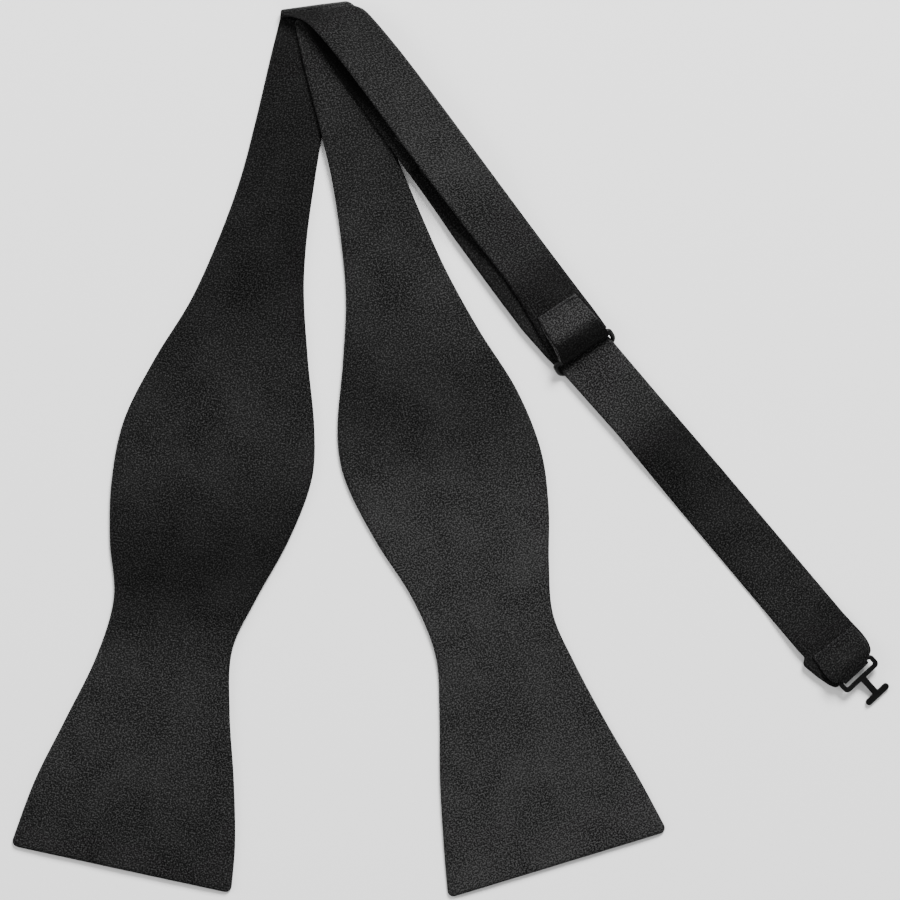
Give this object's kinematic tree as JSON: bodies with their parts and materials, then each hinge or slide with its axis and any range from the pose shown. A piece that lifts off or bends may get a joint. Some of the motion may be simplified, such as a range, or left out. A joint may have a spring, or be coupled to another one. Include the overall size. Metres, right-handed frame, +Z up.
{
  "type": "bow tie",
  "caption": "Self-tie satin bow tie laid flat: two butterfly blades, folded neck bands, and an adjustable end strap with a slide, an eye and a T hook.",
  "frame": {"origin": "on the table, under the middle of the laid-out tie's bounding box", "axes": "+Z up from the table, +Y from the blade ends to the neck fold, +X towards the hook's side"},
  "size_m": [0.2807, 0.2869, 0.0078],
  "materials": {
    "black_satin": "satin weave, soft sheen",
    "interlining": "brushed woven interlining",
    "black_thread": "polyester thread",
    "black_metal": "black enamelled steel"
  },
  "bodies": {
    "blades": {"left_blade_face": "black_satin", "left_blade_interlining": "interlining", "left_blade_back": "black_satin", "right_blade_face": "black_satin", "right_blade_interlining": "interlining", "right_blade_back": "black_satin", "left_fold": "black_satin", "right_fold": "black_satin"},
    "left_band": {"left_band_face": "black_satin", "left_band_interlining": "interlining", "left_band_back": "black_satin", "slide_loop": "black_satin", "slide_loop_stitches": "black_thread", "slide": "black_metal"},
    "right_band": {"right_band_face": "black_satin", "right_band_interlining": "interlining", "right_band_back": "black_satin", "eye_loop": "black_satin", "eye_loop_stitches": "black_thread"},
    "end_strap": {"end_strap_face": "black_satin", "end_strap_interlining": "interlining", "end_strap_back": "black_satin", "hook_loop": "black_satin", "hook_loop_stitches": "black_thread"},
    "hook": {"hook": "black_metal"},
    "eye": {"eye": "black_metal"}
  },
  "joints": [
    {"name": "left_band_fold", "type": "hinge", "parent": "blades", "child": "left_band", "pos_m": [-0.0536, 0.136, 0.0039], "axis": [-0.9889, -0.1483, 0], "range_deg": [0, 180], "deforming": ["left_fold"]},
    {"name": "right_band_fold", "type": "hinge", "parent": "blades", "child": "right_band", "pos_m": [-0.0536, 0.136, 0.0039], "axis": [-0.9889, -0.1483, 0], "range_deg": [0, 180], "deforming": ["right_fold"]},
    {"name": "strap_slide", "type": "slide", "parent": "left_band", "child": "end_strap", "axis": [0.6441, -0.7649, 0], "range_m": [0, 0.055]},
    {"name": "hook_pivot", "type": "hinge", "parent": "end_strap", "child": "hook", "pos_m": [0.1289, -0.07048, 0.00315], "axis": [-0.7314, -0.682, 0], "range_deg": [-60, 100]},
    {"name": "eye_pivot", "type": "hinge", "parent": "right_band", "child": "eye", "pos_m": [-0.00507, 0.09432, 0.00505], "axis": [-0.7986, -0.6018, 0], "range_deg": [-12, 7]}
  ],
  "couplings": [
    {"joint": "right_band_fold", "follows": "left_band_fold", "ratio": 1}
  ]
}
